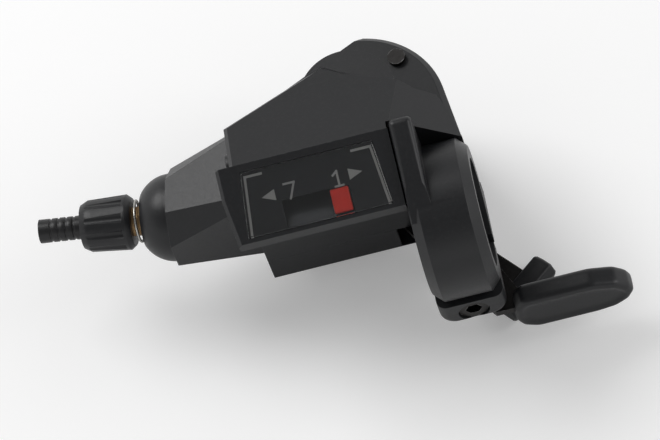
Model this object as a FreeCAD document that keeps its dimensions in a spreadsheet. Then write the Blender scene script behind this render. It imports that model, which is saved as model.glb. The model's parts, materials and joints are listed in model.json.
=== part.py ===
import FreeCAD, Part
import Sketcher
import math
import os
import re

# Right-hand trigger thumb shifter for a 22.2 mm handlebar, in millimetres.
# Frame: origin on the bar's axis at the middle of the clamp, +X along the bar towards the grip,
# +Y forward, +Z up and parallel to the main axle. The mechanism is drawn in its first gear.

SIZES = {
    # clamp
    "bar_radius": 11.1,
    "clamp_width": 13.8,
    "clamp_wall": 4.6,
    "clamp_front": 13.8,
    "clamp_slit": 2.0,
    "clamp_edge": 2.0,
    "ear_rear": 14.0,
    "ear_front": 12.5,
    "ear_top": 9.8,
    "ear_bottom": 17.5,
    "ear_round": 3.5,
    "bolt_drop": 13.7,
    "bolt_radius": 2.0,
    "bolt_head_radius": 3.0,
    "bolt_head_height": 4.0,
    "bolt_head_sink": 0.6,
    "bolt_socket": 1.5,
    "nut_half": 3.0,
    "nut_height": 3.2,
    "hole_gap": 0.2,
    "arm_left": 6.6,
    "arm_right": 2.0,
    "arm_crest_y": 12.4,
    "arm_crest_height": 22.6,
    "band_screw_x": 2.4,
    "band_screw_drop": 3.2,
    "band_screw_radius": 1.25,
    "band_screw_depth": 2.4,
    "screw_head_radius": 2.1,
    "screw_head_height": 1.6,
    # main axle and the stack on it
    "axle_x": 14.0,
    "axle_y": 26.6,
    "axle_radius": 2.5,
    "axle_head_radius": 4.2,
    "axle_head_height": 1.4,
    "running_gap": 0.05,
    "cable_drop": 10.0,
    "cable_yaw": 9.0,
    "drum_radius": 11.1,
    "drum_groove": 0.6,
    "drum_flange": 12.2,
    "drum_height": 8.0,
    "sleeve_radius": 4.4,
    "sleeve_top": 6.0,
    "gear_square": 3.0,
    "gear_thickness": 2.4,
    "hub_radius": 5.4,
    "hub_square": 3.7,
    "nipple_radius": 2.2,
    "nipple_reach": 9.3,
    "nipple_angle": 11.0,
    "ratchet_top": 17.6,
    "ratchet_thickness": 1.8,
    "ratchet_tip": 9.6,
    "ratchet_root": 8.0,
    "ratchet_teeth": 24,
    "plate_radius": 16.2,
    "plate_thickness": 1.6,
    "plate_rear": 9.9,
    "base_plate_top": 15.2,
    "plate_gap": 0.3,
    "pillar_radius": 1.5,
    "pillar_reach": 14.9,
    "pillar_screw": 0.9,
    "pillar_thread": 5.0,
    "plate_flat_low": 1.0,
    "plate_flat_high": 16.2,
    "plate_flat_reach": 6.0,
    "bridge_bottom": 9.0,
    "bridge_thickness": 1.2,
    "bridge_half_width": 2.6,
    "bridge_reach": 7.9,
    "axle_nut_height": 1.8,
    "axle_nut_radius": 4.0,
    # levers
    "lever_top": 20.0,
    "lever_thickness": 1.6,
    "lever_hub": 8.0,
    "bush_wall": 1.1,
    "paddle_left": 7.3,
    "paddle_right": 32.0,
    "paddle_rear": 13.6,
    "paddle_thickness": 5.0,
    "paddle_top": 16.5,
    "paddle_height": 11.2,
    "release_top": 24.8,
    "release_thickness": 1.4,
    "release_hub": 7.5,
    "release_drop": 30.0,
    "release_half": 2.6,
    "release_knee": 24.0,
    "release_reach": 38.0,
    "release_angle": -50.0,
    "release_travel": 12.0,
    "pad_height": 6.4,
    "pad_round": 0.8,
    "paddle_round": 1.2,
    # pawls
    "pawl_pin_reach": 14.2,
    "pawl_pin_radius": 1.2,
    "pawl_boss": 1.9,
    "pawl_clearance": 0.15,
    "pawl_sweep": 38.0,
    "drive_angle": -5.0,
    "pawl_teeth_apart": 11,
    "stud_radius": 0.9,
    "pawl_thickness": 1.4,
    "tooth_lead": 1.2,
    # casings
    "wall": 1.6,
    "casing_top": 4.0,
    "casing_bottom": 19.6,
    "cover_bottom": 28.0,
    "floor_thickness": 1.4,
    "casing_rear": 12.0,
    "casing_left": 39.6,
    "casing_right": 6.3,
    "casing_radius": 18.5,
    "casing_turn": 8.0,
    "casing_front_turn": 76.0,
    "casing_side": 19.9,
    "casing_edge": 1.2,
    "cable_hole": 1.5,
    "plug_front": -7.5,
    "plug_height": 8.6,
    "plug_radius": 1.9,
    "plug_stand": 1.5,
    "cover_left": 39.5,
    "corner_in": 1.3,
    "corner_ahead": 5.3,
    "shoulder_in": 3.1,
    "shoulder_ahead": 9.0,
    "waist_in": 6.9,
    "waist_ahead": 9.4,
    "cover_notch_x": 4.2,
    "cover_notch_y": 1.1,
    "cover_corner_x": 4.0,
    "cover_corner_y": 7.0,
    "cover_shoulder": 3.4,
    "cover_crest": 20.8,
    "cover_front_height": 14.5,
    "cover_cavity": 13.9,
    "cover_low_cavity": 10.6,
    "cover_edge_cavity": 7.0,
    "cavity_setback": 3.2,
    "dome_radius": 9.8,
    "dome_wall": 1.3,
    "dome_top": 13.4,
    "cover_right_height": 7.4,
    "cover_edge": 0.8,
    # indicator
    "face_rear": 2.4,
    "face_rear_height": 14.4,
    "face_tilt": 24.0,
    "housing_left": 42.4,
    "housing_right": 7.0,
    "housing_floor": 12.0,
    "housing_wall": 1.0,
    "lens_low": 0.8,
    "lens_high": 14.2,
    "lens_gap": 0.1,
    "lens_proud": 0.2,
    "window_low_left": 39.0,
    "window_low_right": 9.2,
    "window_high_left": 37.6,
    "window_high_right": 10.5,
    "housing_bevel": 1.4,
    "housing_edge": 0.7,
    "scale_edge": 0.8,
    "scale_low": 1.2,
    "slot_gap": 0.3,
    "scale_thickness": 0.7,
    "rack_module": 0.6,
    "gear_teeth": 20,
    "rack_height": 2.0,
    "rack_teeth": 8,
    "rack_rear": 17.2,
    "rack_leg": 1.4,
    "rack_end": 1.4,
    "gear_backlash": 0.06,
    "arm_level": 0.9,
    "arm_rear": 2.8,
    "flag_thickness": 0.8,
    "pointer_x": 19.2,
    "pointer_half": 1.9,
    "pointer_low": 1.6,
    "pointer_high": 6.6,
    "arm_thickness": 0.8,
    "rack_travel": 9.42,
    # cable outlet and adjuster, measured along the cable from the drum
    "nose_neck": 40.4,
    "nose_rear": 6.2,
    "nose_front": 12.7,
    "nose_low": 9.4,
    "nose_high": 13.9,
    "nose_bevel": 1.6,
    "nose_end": 46.6,
    "neck_radius": 9.2,
    "shoulder_radius": 9.0,
    "collar_radius": 5.6,
    "barrel_radius": 3.0,
    "barrel_depth": 12.0,
    "knob_gap": 2.2,
    "knob_length": 10.6,
    "knob_radius": 5.7,
    "knob_lobes": 10,
    "ferrule_radius": 2.45,
    "ferrule_bore": 2.05,
    "ferrule_length": 12.0,
}

doc = FreeCAD.newDocument("ThumbShifter")
sheet = doc.addObject("Spreadsheet::Sheet", "Sizes")
for row, (alias, value) in enumerate(SIZES.items(), start=1):
    sheet.set(f"A{row}", alias)
    sheet.set(f"B{row}", str(value))
    sheet.setAlias(f"B{row}", alias)
doc.recompute()

PARTS = []
HOLD_ANGLE = "drive_angle + pawl_teeth_apart * 360 / ratchet_teeth"
NOSE_START = ("(casing_left - axle_x - drum_radius * sin(cable_yaw * 1 deg)) * cos(cable_yaw * 1 deg)"
              " - (axle_y - drum_radius * cos(cable_yaw * 1 deg) - casing_rear)"
              " * sin(cable_yaw * 1 deg)")
AXLE = ("-axle_x", "axle_y", "0")


# ---- helpers ----------------------------------------------------------------------------------

def bind(expression):
    """The same expression with each size's name pointing at the sheet."""
    return re.sub(r"[a-z_]+", lambda m: f"Sizes.{m[0]}" if m[0] in SIZES else m[0], expression)


def value(expression):
    """What an expression of sizes comes to, as a number."""
    return float(sheet.evalExpression(bind(expression)))


def polar(reach, angle):
    """A point at a reach and an angle in degrees, as two expressions."""
    return f"({reach}) * cos(({angle}) * 1 deg)", f"({reach}) * sin(({angle}) * 1 deg)"


def new_body(name, place=("0", "0", "0"), axis=None, angle="0"):
    """An empty body with its place, and turn about one axis, bound to the sheet."""
    body = doc.addObject("PartDesign::Body", name)
    body.Label = name
    if axis:
        body.Placement.Rotation = FreeCAD.Rotation(axis, value(angle))
        body.setExpression("Placement.Rotation.Angle", bind(f"({angle}) * 1 deg"))
    for letter, expression in zip("xyz", place):
        body.setExpression(f"Placement.Base.{letter}", bind(expression))
    PARTS.append(body)
    return body


def add_loop(sketch, points):
    """A closed outline with every corner tied to the sheet.

    A corner is (x, y), or (x, y, (centre x, centre y)) where the stretch that follows it is an
    arc about that centre, anticlockwise.
    """
    first = sketch.GeometryCount
    count = len(points)
    spots = [FreeCAD.Vector(value(p[0]), value(p[1]), 0) for p in points]
    for i, point in enumerate(points):
        start, end = spots[i], spots[(i + 1) % count]
        if len(point) == 2:
            sketch.addGeometry(Part.LineSegment(start, end), False)
            continue
        centre = FreeCAD.Vector(value(point[2][0]), value(point[2][1]), 0)
        circle = Part.Circle(centre, FreeCAD.Vector(0, 0, 1), (start - centre).Length)
        angles = [math.atan2((spot - centre).y, (spot - centre).x) for spot in (start, end)]
        sketch.addGeometry(Part.ArcOfCircle(circle, *angles), False)
    for i in range(count):
        following = first + (i + 1) % count
        sketch.addConstraint(Sketcher.Constraint("Coincident", first + i, 2, following, 1))
    for i, point in enumerate(points):
        letters = "XY"
        if len(points[i - 1]) == 3:
            letters = "X" if abs(spots[i].y - value(points[i - 1][2][1])) > \
                abs(spots[i].x - value(points[i - 1][2][0])) else "Y"
        for letter in letters:
            place = "XY".index(letter)
            tie(sketch, f"Distance{letter}", first + i, 1, point[place], spots[i][place])
        if len(point) == 3:
            for letter, expression in zip("XY", point[2]):
                tie(sketch, f"Distance{letter}", first + i, 3, expression, value(expression))


def tie(sketch, kind, geometry, point, expression, start):
    """Binds one coordinate of a point, measured from the sketch's origin, to an expression."""
    index = sketch.addConstraint(Sketcher.Constraint(kind, -1, 1, geometry, point, start))
    sketch.setExpression(f"Constraints[{index}]", bind(expression))


def add_circle(sketch, x, y, radius):
    """A circle with its centre and radius tied to the sheet."""
    centre = FreeCAD.Vector(value(x), value(y), 0)
    circle = sketch.addGeometry(Part.Circle(centre, FreeCAD.Vector(0, 0, 1), value(radius)), False)
    tie(sketch, "DistanceX", circle, 3, x, centre.x)
    tie(sketch, "DistanceY", circle, 3, y, centre.y)
    index = sketch.addConstraint(Sketcher.Constraint("Radius", circle, value(radius)))
    sketch.setExpression(f"Constraints[{index}]", bind(radius))


def profile(body, plane, level, loops, tilt=None):
    """A sketch on one of the body's own planes, moved to a level along the plane's axis.

    A loop is a list of corners, or a circle as (x, y, radius).
    """
    sketch = body.newObject("Sketcher::SketchObject", f"{body.Name}_sketch")
    origin_plane = next(f for f in body.Origin.OriginFeatures if f.Role == f"{plane}_Plane")
    sketch.AttachmentSupport = [(origin_plane, "")]
    sketch.MapMode = "FlatFace"
    sign = "-" if plane == "XZ" else ""
    if tilt:
        height, rear, angle = tilt
        turn = FreeCAD.Rotation(FreeCAD.Vector(1, 0, 0), value(angle))
        sketch.AttachmentOffset = FreeCAD.Placement(FreeCAD.Vector(0, 0, 0), turn)
        sketch.setExpression("AttachmentOffset.Rotation.Angle", bind(f"({angle}) * 1 deg"))
        sketch.setExpression("AttachmentOffset.Base.y", bind(rear))
        sketch.setExpression("AttachmentOffset.Base.z", bind(height))
    else:
        sketch.setExpression("AttachmentOffset.Base.z", bind(f"{sign}({level})"))
    for loop in loops:
        if isinstance(loop, tuple):
            add_circle(sketch, *loop)
        else:
            add_loop(sketch, loop)
    doc.recompute()
    return sketch


def extrude(body, kind, plane, level, length, loops, tilt=None):
    """Pad or Pocket from a level, always along the plane's positive axis."""
    before = body.Shape.Volume if body.Tip else 0
    sketch = profile(body, plane, level, loops, tilt)
    feature = body.newObject(f"PartDesign::{kind}", f"{body.Name}_{kind}")
    feature.Profile = sketch
    feature.Reversed = (kind == "Pocket") != (plane == "XZ")
    feature.setExpression("Length", bind(length))
    body.Tip = feature
    doc.recompute()
    change = body.Shape.Volume - before
    if (change > 0) != (kind == "Pad") or abs(change) < 1e-6:
        raise ValueError(f"{feature.Name} changes nothing: {change}")
    return feature


def pad(body, plane, level, length, *loops):
    return extrude(body, "Pad", plane, level, length, loops)


def pocket(body, plane, level, length, *loops):
    return extrude(body, "Pocket", plane, level, length, loops)


def revolve(body, *loops, along="V_Axis", kind="Revolution"):
    """Outlines of (reach, height) turned a full circle about the body's own Z, or X, axis."""
    before = body.Shape.Volume if body.Tip else 0
    sketch = profile(body, "XZ", "0", loops)
    feature = body.newObject(f"PartDesign::{kind}", f"{body.Name}_{kind}")
    feature.Profile = sketch
    feature.ReferenceAxis = (sketch, [along])
    feature.Angle = 360
    body.Tip = feature
    doc.recompute()
    if abs(body.Shape.Volume - before) < 1e-6:
        raise ValueError(f"{feature.Name} changes nothing")
    return feature


def box_loop(left, right, low, high):
    """A rectangle between four expressions."""
    return [(left, low), (right, low), (right, high), (left, high)]


def dress(body, kind, size, chosen):
    """A Fillet or Chamfer on the edges of the body that the test chooses."""
    base = body.Tip
    names = [f"Edge{i}" for i, edge in enumerate(base.Shape.Edges, start=1) if chosen(edge)]
    feature = body.newObject(f"PartDesign::{kind}", f"{body.Name}_{kind}")
    feature.Base = (base, names)
    feature.setExpression("Radius" if kind == "Fillet" else "Size", bind(size))
    body.Tip = feature
    doc.recompute()
    if not names or "Invalid" in feature.State or "Error" in feature.State:
        raise ValueError(f"{feature.Name} failed on {names}")
    return feature


def upright(edge):
    """True for a straight edge along Z."""
    if not isinstance(edge.Curve, Part.Line):
        return False
    return abs(edge.tangentAt(edge.FirstParameter).z) > 0.999


def pattern(body, count, original):
    """Repeats a feature evenly about the body's Z axis."""
    axis = next(f for f in body.Origin.OriginFeatures if f.Role == "Z_Axis")
    feature = body.newObject("PartDesign::PolarPattern", f"{body.Name}_pattern")
    feature.Originals = [original]
    feature.Axis = (axis, [""])
    feature.Angle = 360
    feature.setExpression("Occurrences", bind(count))
    body.Tip = feature
    doc.recompute()


def coil(name, reach, wire, pitch, turns, low, place=AXLE, axis=None, angle="0"):
    """A wire coil about the body's Z axis."""
    body = new_body(name, place, axis, angle)
    sketch = profile(body, "XZ", "0", [(reach, low, wire)])
    feature = body.newObject("PartDesign::AdditiveHelix", f"{name}_coil")
    feature.Profile = sketch
    feature.ReferenceAxis = (sketch, ["V_Axis"])
    feature.Mode = "pitch-height-angle"
    feature.setExpression("Pitch", bind(pitch))
    feature.setExpression("Height", bind(f"({pitch}) * ({turns})"))
    body.Tip = feature
    doc.recompute()
    return body


# ---- clamp ------------------------------------------------------------------------------------

def make_clamp_band():
    """The split band round the bar, with two ears below it and the arm that carries the casing."""
    body = new_body("clamp_band")
    outer = "bar_radius + clamp_wall"
    half = "clamp_width / 2"
    pad(body, "YZ", f"-{half}", "clamp_width", ("0", "0", outer))
    dress(body, "Chamfer", "clamp_edge", lambda e: isinstance(e.Curve, Part.Circle))
    pad(body, "YZ", f"-{half}", "clamp_width",
        box_loop("-ear_rear", "ear_front", "-ear_bottom", "-ear_top"))
    dress(body, "Fillet", "ear_round", lambda e: e.BoundBox.ZMax < -value("ear_bottom") + 0.01
          and e.BoundBox.XMax - e.BoundBox.XMin < 0.01)
    dress(body, "Fillet", "clamp_edge", lambda e: upright(e) and e.CenterOfMass.y < 0)
    pad(body, "YZ", "-arm_left", "arm_left - arm_right", [
        ("-bar_radius * 0.6", "bar_radius + clamp_wall / 2"),
        ("0", "arm_crest_height - clamp_wall"),
        ("arm_crest_y", "arm_crest_height"),
        ("clamp_front", "arm_crest_height - clamp_edge"),
        ("clamp_front", "0"),
        ("bar_radius", "0")])
    pocket(body, "YZ", "-clamp_width", "2 * clamp_width", ("0", "0", "bar_radius"))
    pocket(body, "YZ", "-clamp_width", "2 * clamp_width",
           box_loop("clamp_front", "2 * clamp_front", "-ear_bottom", "2 * arm_crest_height"))
    pocket(body, "YZ", "-clamp_width", "2 * clamp_width",
           box_loop("-clamp_slit / 2", "clamp_slit / 2", "-2 * ear_bottom", "-bar_radius / 2"))
    pocket(body, "XZ", "-ear_rear", "ear_rear + ear_front",
           ("0", "-bolt_drop", "bolt_radius + hole_gap"))
    pocket(body, "XZ", "-ear_rear", "bolt_head_height + bolt_head_sink",
           ("0", "-bolt_drop", "bolt_head_radius + hole_gap"))
    pocket(body, "XZ", "ear_front - nut_height", "nut_height",
           box_loop("-nut_half - hole_gap", "nut_half + hole_gap",
                    "-bolt_drop - nut_half - hole_gap", "-bolt_drop + nut_half + hole_gap"))
    pocket(body, "XZ", "clamp_front - band_screw_depth", "band_screw_depth",
           ("-band_screw_x", "-band_screw_drop", "band_screw_radius"),
           ("band_screw_x", "-band_screw_drop", "band_screw_radius"))


def make_clamp_bolt():
    """Socket-head bolt across the split, its head sunk into the rear ear."""
    body = new_body("clamp_bolt")
    seat = "-ear_rear + bolt_head_height + bolt_head_sink"
    pad(body, "XZ", "-ear_rear + bolt_head_sink", "bolt_head_height",
        ("0", "-bolt_drop", "bolt_head_radius"))
    pad(body, "XZ", seat, f"ear_front - ({seat})", ("0", "-bolt_drop", "bolt_radius"))
    corners = [polar("bolt_socket / cos(30 deg)", str(60 * i)) for i in range(6)]
    pocket(body, "XZ", "-ear_rear + bolt_head_sink", "bolt_head_height / 2",
           [(x, f"{y} - bolt_drop") for x, y in corners])


def make_clamp_nut():
    """Square nut held in the front ear."""
    body = new_body("clamp_nut")
    pad(body, "XZ", "ear_front - nut_height", "nut_height",
        box_loop("-nut_half", "nut_half", "-bolt_drop - nut_half", "-bolt_drop + nut_half"),
        ("0", "-bolt_drop", "bolt_radius"))


def make_band_screws():
    """Two screws through the casing's rear wall into the band."""
    body = new_body("band_screws")
    seat = "clamp_front + wall"
    for side in ("-", ""):
        spot = (f"{side}band_screw_x", "-band_screw_drop")
        pad(body, "XZ", seat, "screw_head_height", (*spot, "screw_head_radius"))
        pad(body, "XZ", f"{seat} - wall - band_screw_depth", "wall + band_screw_depth",
            (*spot, "band_screw_radius"))


# ---- casings ----------------------------------------------------------------------------------

def casing_loop(inset):
    """Plan of the drum housing, moved in by an inset: flat behind, notched for the clamp, and
    round the drum at the right and in front."""
    notch = f"-clamp_width / 2 - plate_gap - {inset}"
    reach = f"casing_radius - {inset}"
    start = polar(reach, "casing_turn")
    end = polar(reach, "casing_front_turn")
    side = "casing_side * tan(cable_yaw * 1 deg)"
    return [
        (f"-casing_left + {inset}", f"casing_rear + {inset}"),
        (notch, f"casing_rear + {inset}"),
        (notch, f"clamp_front + {inset}"),
        (f"casing_right - {inset}", f"clamp_front + {inset}"),
        (f"-axle_x + {start[0]}", f"axle_y + {start[1]}", ("-axle_x", "axle_y")),
        (f"-axle_x + {end[0]}", f"axle_y + {end[1]}"),
        (f"-casing_left + {side} + {inset}", f"casing_rear + casing_side - {inset} * 0.8")]


def cover_loop(inset, right="casing_right"):
    """Plan of the top cover, moved in by an inset, up to a right-hand end."""
    notch = f"-clamp_width / 2 - plate_gap - {inset}"
    return [
        (f"-cover_left + {inset}", f"casing_rear + {inset}"),
        (notch, f"casing_rear + {inset}"),
        (notch, f"clamp_front + {inset}"),
        (f"{right} - {inset}", f"clamp_front + {inset}"),
        (f"{right} - corner_in - {inset}", f"clamp_front + corner_ahead - {inset} * 0.2"),
        (f"{right} - shoulder_in - {inset} * 0.8", f"clamp_front + shoulder_ahead - {inset} * 0.7"),
        (f"{right} - waist_in - {inset} * 0.3", f"clamp_front + waist_ahead - {inset}"),
        (f"-axle_x + cover_notch_x - {inset} * 0.5", f"axle_y + cover_notch_y - {inset}"),
        ("-axle_x - cover_corner_x", f"axle_y + cover_corner_y - {inset} * 1.2"),
        (f"-cover_left + {inset}", f"axle_y - cover_shoulder - {inset} * 0.7")]


def make_lower_casing():
    """The drum housing: a cup with its floor uppermost, open below."""
    body = new_body("lower_casing")
    pad(body, "XY", "-casing_bottom", "casing_top + casing_bottom", casing_loop("0"))
    dress(body, "Chamfer", "casing_edge", lambda e: e.BoundBox.ZMin > value("casing_top") - 0.01
          and e.CenterOfMass.y > value("axle_y") - 6 and e.CenterOfMass.x > -value("axle_x"))
    pocket(body, "XY", "-casing_bottom", "casing_top + casing_bottom - wall", casing_loop("wall"))
    pocket(body, "XY", "0", "casing_top", ("-axle_x", "axle_y", "sleeve_radius + plate_gap"),
           *pillar_circles("pillar_screw + hole_gap", "-axle_x", "axle_y"))
    pocket(body, "XZ", "clamp_front - 1", "wall + 2",
           ("-band_screw_x", "-band_screw_drop", "band_screw_radius + hole_gap / 2"),
           ("band_screw_x", "-band_screw_drop", "band_screw_radius + hole_gap / 2"))
    cable = "(casing_left - axle_x) * tan(cable_yaw * 1 deg)"
    pocket(body, "YZ", "-casing_left - 1", "casing_side * tan(cable_yaw * 1 deg) + wall + 3",
           (f"axle_y - drum_radius + {cable}", "-cable_drop", "cable_hole"))


def pillar_circles(radius, x="0", y="0"):
    """The three places round the axle where the plates are pillared together."""
    circles = []
    for angle in ("45", "200", "-30"):
        along, across = polar("pillar_reach", angle)
        circles.append((f"{x} + {along}", f"{y} + {across}", radius))
    return circles


def make_top_cover():
    """Angular cover over the indicator's gear, falling away to the front and to the right."""
    body = new_body("top_cover")
    pad(body, "XY", "casing_top", "cover_crest - casing_top", cover_loop("0"))
    pad(body, "XY", "casing_top", "dome_top - casing_top", ("-axle_x", "axle_y", "dome_radius"))
    front = "axle_y + casing_radius"
    fall = "(cover_crest - cover_front_height) / (axle_y + cover_corner_y - casing_rear)"
    pocket(body, "YZ", "-2 * cover_left", "4 * cover_left", [
        ("casing_rear", "cover_crest"),
        (front, f"cover_crest - ({front} - casing_rear) * {fall}"),
        (front, "cover_crest + 1"),
        ("casing_rear", "cover_crest + 1")])
    pocket(body, "XZ", "casing_rear - 1", f"{front}", [
        ("-housing_right", "cover_crest"),
        ("casing_right + 1", "cover_right_height - 1"),
        ("casing_right + 1", "cover_crest + 1"),
        ("-housing_right", "cover_crest + 1")])
    dress(body, "Chamfer", "cover_edge", lambda e: not upright(e)
          and e.CenterOfMass.z > value("cover_front_height") - 1
          and e.CenterOfMass.y > value("casing_rear") + 1
          and e.CenterOfMass.x < value("-axle_x + cover_notch_x"))
    pocket(body, "XY", "casing_top", "cover_edge_cavity - casing_top", cover_loop("wall"))
    pocket(body, "XY", "cover_edge_cavity", "cover_low_cavity - cover_edge_cavity",
           cover_loop("wall", "(casing_right - cavity_setback)"))
    cavity_front = "axle_y + cover_corner_y - 1.9 * wall"
    pocket(body, "XY", "cover_low_cavity", "cover_cavity - cover_low_cavity", [
        ("-cover_left + wall", "casing_rear + wall"),
        ("-housing_right - wall - plate_gap", "casing_rear + wall"),
        ("-housing_right - wall - plate_gap", "axle_y - 2"),
        ("-axle_x - cover_corner_x", cavity_front),
        ("-cover_left + wall", "axle_y - cover_shoulder - 1.4 * wall")])
    pocket(body, "XY", "casing_top", "dome_top - dome_wall - casing_top",
           ("-axle_x", "axle_y", "dome_radius - dome_wall"))
    pocket(body, "XZ", "casing_rear - 1", "wall + 2", box_loop(
        "-pointer_x - pointer_half - rack_travel - 1", "-pointer_x + pointer_half + 1",
        "housing_floor + 0.5", "cover_cavity"))
    pocket(body, "YZ", "-cover_left - 1", "wall + 2", ("axle_y + plug_front", "plug_height",
                                                      "plug_radius"))


def make_bottom_cover():
    """Tray under the levers, open at the rear and right where they sweep."""
    body = new_body("bottom_cover")
    pad(body, "XY", "-cover_bottom", "cover_bottom - casing_bottom", casing_loop("0"))
    dress(body, "Chamfer", "casing_edge", lambda e: e.BoundBox.ZMax < -value("cover_bottom") + 0.01)
    pocket(body, "XY", "-cover_bottom + floor_thickness",
           "cover_bottom - casing_bottom - floor_thickness", casing_loop("wall"))
    pocket(body, "XY", "-cover_bottom + floor_thickness",
           "cover_bottom - casing_bottom - floor_thickness",
           box_loop("-axle_x + 1.5", "2 * casing_right", "casing_rear - 1", "axle_y + 7"))
    pocket(body, "XY", "-cover_bottom - 1", "cover_bottom - casing_bottom + 1",
           box_loop("-clamp_width / 2", "2 * casing_right", "casing_rear - 1",
                    "axle_y - axle_x + casing_right - 0.5"))
    pocket(body, "XY", "-cover_bottom - 1", "cover_bottom",
           ("-axle_x", "axle_y", "axle_radius + hole_gap"))


def make_cable_plug():
    """Slotted screw plug in the cover's left wall."""
    body = new_body("cable_plug")
    spot = ("axle_y + plug_front", "plug_height")
    pad(body, "YZ", "-cover_left - plug_stand", "plug_stand", (*spot, "plug_radius + 0.8"))
    pad(body, "YZ", "-cover_left", "wall", (*spot, "plug_radius"))
    pocket(body, "YZ", "-cover_left - plug_stand", "plug_stand / 2", box_loop(
        "axle_y + plug_front - 2 * plug_radius", "axle_y + plug_front + 2 * plug_radius",
        "plug_height - 0.4", "plug_height + 0.4"))


def outlet_body(name):
    """A body drawn along the cable: its -X runs out from the drum's tangent point."""
    across = polar("drum_radius", "-90 - cable_yaw")
    place = (f"-axle_x + {across[0]}", f"axle_y + {across[1]}", "-cable_drop")
    return new_body(name, place, FreeCAD.Vector(0, 0, 1), "-cable_yaw")


def make_cable_nose():
    """The tapered outlet from the casing's left wall to the adjuster's collar."""
    body = outlet_body("cable_nose")
    root = profile(body, "YZ", f"-({NOSE_START})", [chamfered_loop(
        "-nose_rear", "nose_front", "-nose_low", "nose_high", "nose_bevel")])
    neck = profile(body, "YZ", "-nose_neck", [chamfered_loop(
        "-neck_radius", "neck_radius", "-neck_radius", "neck_radius", "neck_radius * 0.58")])
    loft = body.newObject("PartDesign::AdditiveLoft", "cable_nose_loft")
    loft.Profile = root
    loft.Sections = [neck]
    loft.Ruled = True
    body.Tip = loft
    doc.recompute()
    drop = "(shoulder_radius - collar_radius)"
    arc_centre = f"shoulder_radius - ((nose_end - nose_neck) ^ 2 + {drop} ^ 2) / (2 * {drop})"
    revolve(body, [("-nose_neck", "0"), ("-nose_neck", "shoulder_radius", ("-nose_neck", arc_centre)),
                   ("-nose_end", "collar_radius"), ("-nose_end", "0")], along="H_Axis")
    pocket(body, "YZ", "-nose_end", "barrel_depth", ("0", "0", "barrel_radius + hole_gap"))
    pocket(body, "YZ", "-nose_end", f"nose_end - ({NOSE_START}) + 1", ("0", "0", "cable_hole"))


def chamfered_loop(left, right, low, high, bevel):
    """A rectangle with its four corners cut off."""
    return [
        (f"{left} + {bevel}", low), (f"{right} - {bevel}", low),
        (right, f"{low} + {bevel}"), (right, f"{high} - {bevel}"),
        (f"{right} - {bevel}", high), (f"{left} + {bevel}", high),
        (left, f"{high} - {bevel}"), (left, f"{low} + {bevel}")]


# ---- indicator --------------------------------------------------------------------------------

def face_point(along, depth):
    """A point of the face's side view, from its rear edge: along the slope and below it."""
    y = f"-face_rear + ({along}) * cos(face_tilt * 1 deg) + ({depth}) * sin(face_tilt * 1 deg)"
    z = f"face_rear_height + ({along}) * sin(face_tilt * 1 deg) - ({depth}) * cos(face_tilt * 1 deg)"
    return y, z


def window_loop(gap):
    """The lens's plan on the slope, moved in by a gap."""
    return [
        (f"-window_low_left + {gap}", f"lens_low + {gap}"),
        (f"-window_low_right - {gap}", f"lens_low + {gap}"),
        (f"-window_high_right - {gap}", f"lens_high - {gap}"),
        (f"-window_high_left + {gap}", f"lens_high - {gap}")]


def make_indicator_housing():
    """Wedge over the bar with a sloping window, open in front where the slider's arm enters."""
    body = new_body("indicator_housing")
    slope = "(casing_rear + face_rear) * tan(face_tilt * 1 deg)"
    pad(body, "YZ", "-housing_left", "housing_left - housing_right", [
        ("-face_rear", "housing_floor"), ("casing_rear", "housing_floor"),
        ("casing_rear", f"face_rear_height + {slope}"), ("-face_rear", "face_rear_height")])
    pocket(body, "XY", "0", "2 * cover_crest", [
        ("-housing_left - 1", "-face_rear - 1"), ("-housing_left + housing_bevel", "-face_rear - 1"),
        ("-housing_left", "casing_rear / 2"), ("-housing_left - 1", "casing_rear / 2")])
    dress(body, "Chamfer", "housing_edge", lambda e: e.CenterOfMass.x < value("-housing_left + 2")
          and e.CenterOfMass.z > value("housing_floor + 2") and not upright(e)
          and e.CenterOfMass.y < value("casing_rear") - 0.1)
    wall = "housing_wall"
    inner = f"face_rear_height - {wall} / cos(face_tilt * 1 deg) + {wall} * tan(face_tilt * 1 deg)"
    pocket(body, "YZ", f"-housing_left + {wall} + housing_bevel",
           f"housing_left - housing_right - 2 * {wall} - housing_bevel", [
        (f"-face_rear + {wall}", "housing_floor + 0.7"), ("casing_rear", "housing_floor + 0.7"),
        ("casing_rear", f"{inner} + {slope} - {wall} * tan(face_tilt * 1 deg)"),
        (f"-face_rear + {wall}", inner)])
    extrude(body, "Pocket", "XY", "0", "4 * housing_wall", [window_loop("0")],
            tilt=("face_rear_height - 2.5 * housing_wall * cos(face_tilt * 1 deg)",
                  "-face_rear + 2.5 * housing_wall * sin(face_tilt * 1 deg)", "face_tilt"))


def make_indicator_lens():
    """Clear window, set into the slope and a little proud of it."""
    body = face_body("indicator_lens")
    pad(body, "XY", "-housing_wall", "housing_wall + lens_proud", window_loop("lens_gap"))
    dress(body, "Chamfer", "lens_proud * 0.9",
          lambda e: e.BoundBox.ZMin > value("lens_proud") - 0.01)


def face_body(name):
    """A body drawn on the slope: X along the bar, Y up the slope, Z out of it."""
    place = ("0", "-face_rear", "face_rear_height")
    return new_body(name, place, FreeCAD.Vector(1, 0, 0), "face_tilt")


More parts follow.
